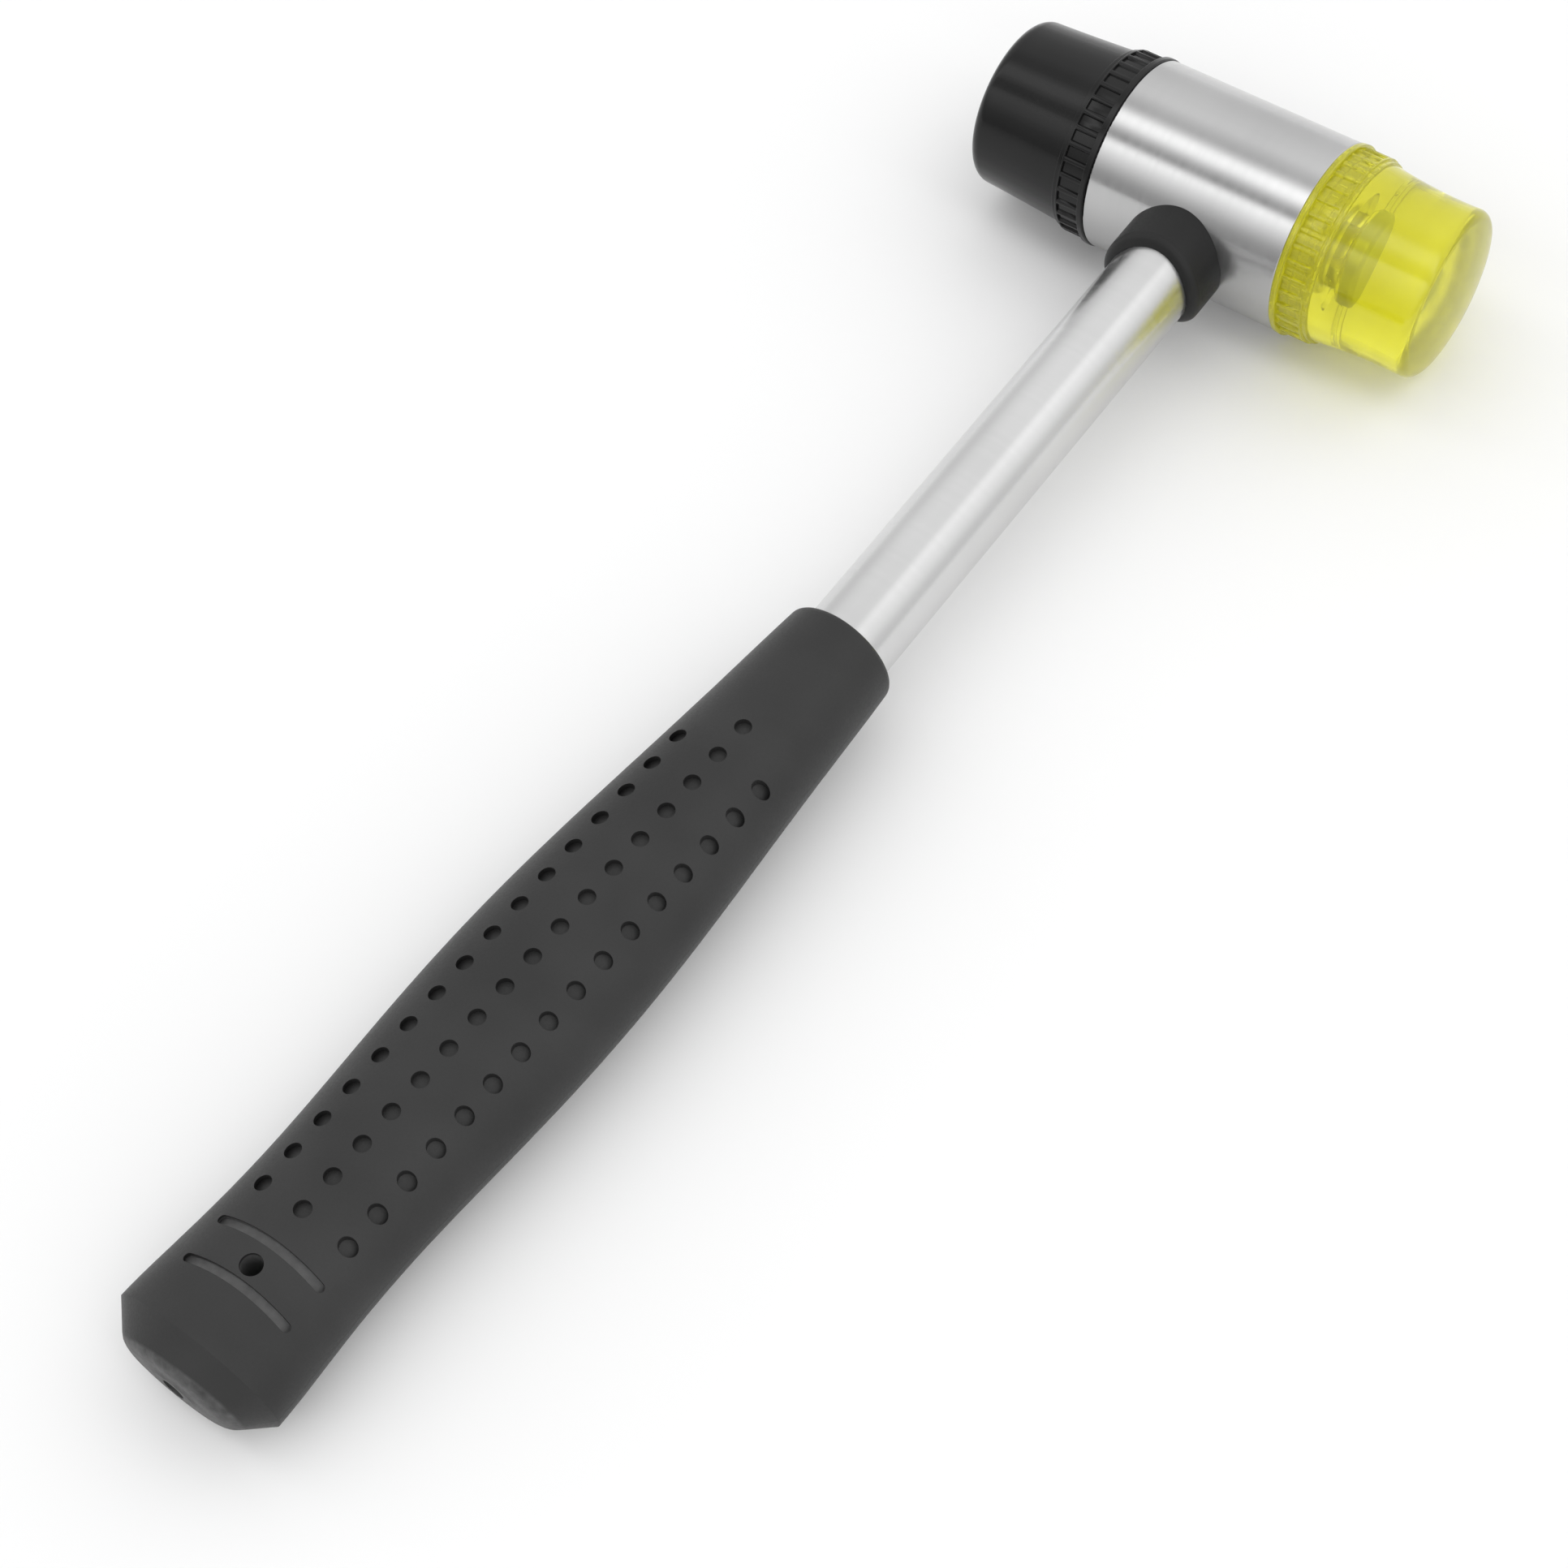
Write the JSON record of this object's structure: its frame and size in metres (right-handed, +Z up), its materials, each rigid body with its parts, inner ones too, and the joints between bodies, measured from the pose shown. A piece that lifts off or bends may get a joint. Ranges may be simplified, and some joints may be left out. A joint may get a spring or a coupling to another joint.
{
  "type": "soft-face mallet",
  "caption": "Soft-face mallet with a plated steel barrel, screw-on black and yellow striking tips, a steel tube handle and a dimpled rubber grip",
  "frame": {"origin": "under the middle of the bounding box, on the surface the mallet lies on", "axes": "X along the head from the black tip to the yellow tip, +Y along the handle from the butt to the head, Z up out of the surface"},
  "size_m": [0.079, 0.249, 0.0304],
  "materials": {
    "plated_steel": "satin bright plating",
    "black_plastic": "smooth moulded",
    "grip_rubber": "matte moulded",
    "plug_plastic": "moulded",
    "black_tip_plastic": "satin moulded",
    "yellow_tip_plastic": "translucent, smooth",
    "stud_steel": "zinc plated"
  },
  "bodies": {
    "handle": {"head_barrel": "plated_steel", "handle_tube": "plated_steel", "eye_plug": "plated_steel", "shaft_collar": "black_plastic", "grip_sleeve": "grip_rubber", "tube_end_plug": "plug_plastic"},
    "black_carrier": {"black_tip_anchor": "stud_steel"},
    "black_face": {"black_tip": "black_tip_plastic", "black_tip_stud": "stud_steel"},
    "yellow_carrier": {"yellow_tip_anchor": "stud_steel"},
    "yellow_face": {"yellow_tip": "yellow_tip_plastic", "yellow_tip_stud": "stud_steel"}
  },
  "joints": [
    {"name": "black_tip_travel", "type": "slide", "parent": "handle", "child": "black_carrier", "axis": [-1, 0, 0], "range_m": [0, 0.0125]},
    {"name": "black_tip_turn", "type": "hinge", "parent": "black_carrier", "child": "black_face", "pos_m": [-0.01625, 0.1093, 0.0152], "axis": [-1, 0, 0], "range_deg": [0, 3600]},
    {"name": "yellow_tip_travel", "type": "slide", "parent": "handle", "child": "yellow_carrier", "axis": [1, 0, 0], "range_m": [0, 0.0125]},
    {"name": "yellow_tip_turn", "type": "hinge", "parent": "yellow_carrier", "child": "yellow_face", "pos_m": [0.01625, 0.1093, 0.0152], "axis": [1, 0, 0], "range_deg": [0, 3600]}
  ],
  "couplings": [
    {"joint": "black_tip_travel", "follows": "black_tip_turn", "m_per_rad": 0.00019894},
    {"joint": "yellow_tip_travel", "follows": "yellow_tip_turn", "m_per_rad": 0.00019894}
  ]
}
